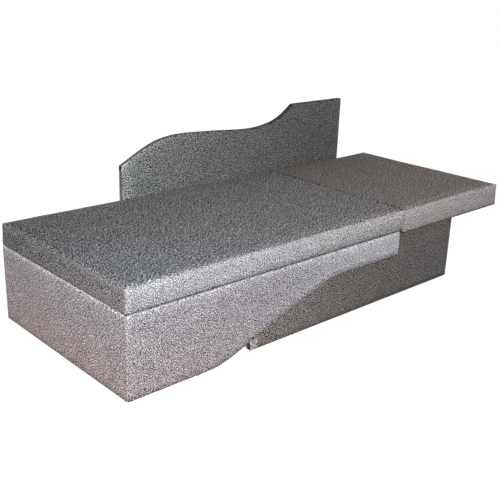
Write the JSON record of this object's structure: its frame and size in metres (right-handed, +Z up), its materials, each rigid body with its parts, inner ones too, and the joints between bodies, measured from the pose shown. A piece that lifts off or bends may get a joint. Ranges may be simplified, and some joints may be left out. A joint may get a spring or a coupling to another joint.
{
  "type": "pull-out divan",
  "caption": "Pull-out divan: fixed padded section with a wave-cut front, carriage on floor rollers with a tall wavy back board, and an extension pad that folds over.",
  "frame": {"origin": "middle of the footprint's box with the carriage pulled out, on the floor", "axes": "+X along the bed towards the end that pulls out, -Y towards the user's side at the front, +Y towards the back board, +Z up"},
  "size_m": [2, 0.8084, 0.665],
  "materials": {
    "fabric": "matte",
    "fabric_light": "matte",
    "fabric_dark": "matte",
    "foam": "matte",
    "wadding": "matte",
    "dust_cloth": "matte",
    "particleboard": "matte",
    "hardboard": "satin",
    "timber": "matte",
    "steel": "satin",
    "glide_plastic": "matte",
    "roller_plastic": "satin"
  },
  "bodies": {
    "base": {"outer_front_board": "particleboard", "outer_end_board": "particleboard", "outer_padding": "wadding", "outer_cover": "fabric_light", "outer_screws": "steel", "base_glides": "glide_plastic", "seat_long_rails": "timber", "seat_cross_rails": "timber", "seat_deck": "hardboard", "seat_foam": "foam", "seat_cover": "fabric", "seat_dust_sheet": "dust_cloth", "front_slide_rail": "timber", "rear_slide_rail": "timber", "end_cleat": "timber", "rail_screws": "steel", "pull_out_stops": "timber", "fold_hinge_strip": "fabric"},
    "carriage": {"carriage_front_board": "particleboard", "carriage_left_board": "particleboard", "carriage_right_board": "particleboard", "carriage_padding": "wadding", "carriage_cover": "fabric_dark", "carriage_screws": "steel", "back_board": "particleboard", "back_padding": "wadding", "back_cover": "fabric_dark", "back_lining": "dust_cloth", "rear_ledger": "timber", "floor_battens": "timber", "carriage_floor": "hardboard", "corner_blocks": "timber", "roller_brackets": "steel", "bracket_screws": "steel", "roller_axles": "steel"},
    "flap": {"flap_long_rails": "timber", "flap_cross_rails": "timber", "flap_deck": "hardboard", "flap_foam": "foam", "flap_cover": "fabric", "flap_dust_sheet": "dust_cloth"},
    "wheel_front_left": {"roller_front_left": "roller_plastic"},
    "wheel_front_right": {"roller_front_right": "roller_plastic"},
    "wheel_rear_left": {"roller_rear_left": "roller_plastic"},
    "wheel_rear_right": {"roller_rear_right": "roller_plastic"}
  },
  "joints": [
    {"name": "carriage_slide", "type": "slide", "parent": "base", "child": "carriage", "axis": [1, 0, 0], "range_m": [-0.49, 0]},
    {"name": "pad_fold", "type": "hinge", "parent": "base", "child": "flap", "pos_m": [0.3145, 0, 0.37915], "axis": [0, -1, 0], "range_deg": [0, 180]},
    {"name": "wheel_front_left_spin", "type": "hinge", "parent": "carriage", "child": "wheel_front_left", "pos_m": [-0.393, -0.31675, 0.018], "axis": [0, 1, 0], "continuous": true},
    {"name": "wheel_front_right_spin", "type": "hinge", "parent": "carriage", "child": "wheel_front_right", "pos_m": [0.605, -0.31675, 0.018], "axis": [0, 1, 0], "continuous": true},
    {"name": "wheel_rear_left_spin", "type": "hinge", "parent": "carriage", "child": "wheel_rear_left", "pos_m": [-0.393, 0.31475, 0.018], "axis": [0, 1, 0], "continuous": true},
    {"name": "wheel_rear_right_spin", "type": "hinge", "parent": "carriage", "child": "wheel_rear_right", "pos_m": [0.605, 0.31475, 0.018], "axis": [0, 1, 0], "continuous": true}
  ],
  "couplings": [
    {"joint": "wheel_front_left_spin", "follows": "carriage_slide", "rad_per_m": 55.556},
    {"joint": "wheel_front_right_spin", "follows": "carriage_slide", "rad_per_m": 55.556},
    {"joint": "wheel_rear_left_spin", "follows": "carriage_slide", "rad_per_m": 55.556},
    {"joint": "wheel_rear_right_spin", "follows": "carriage_slide", "rad_per_m": 55.556}
  ]
}
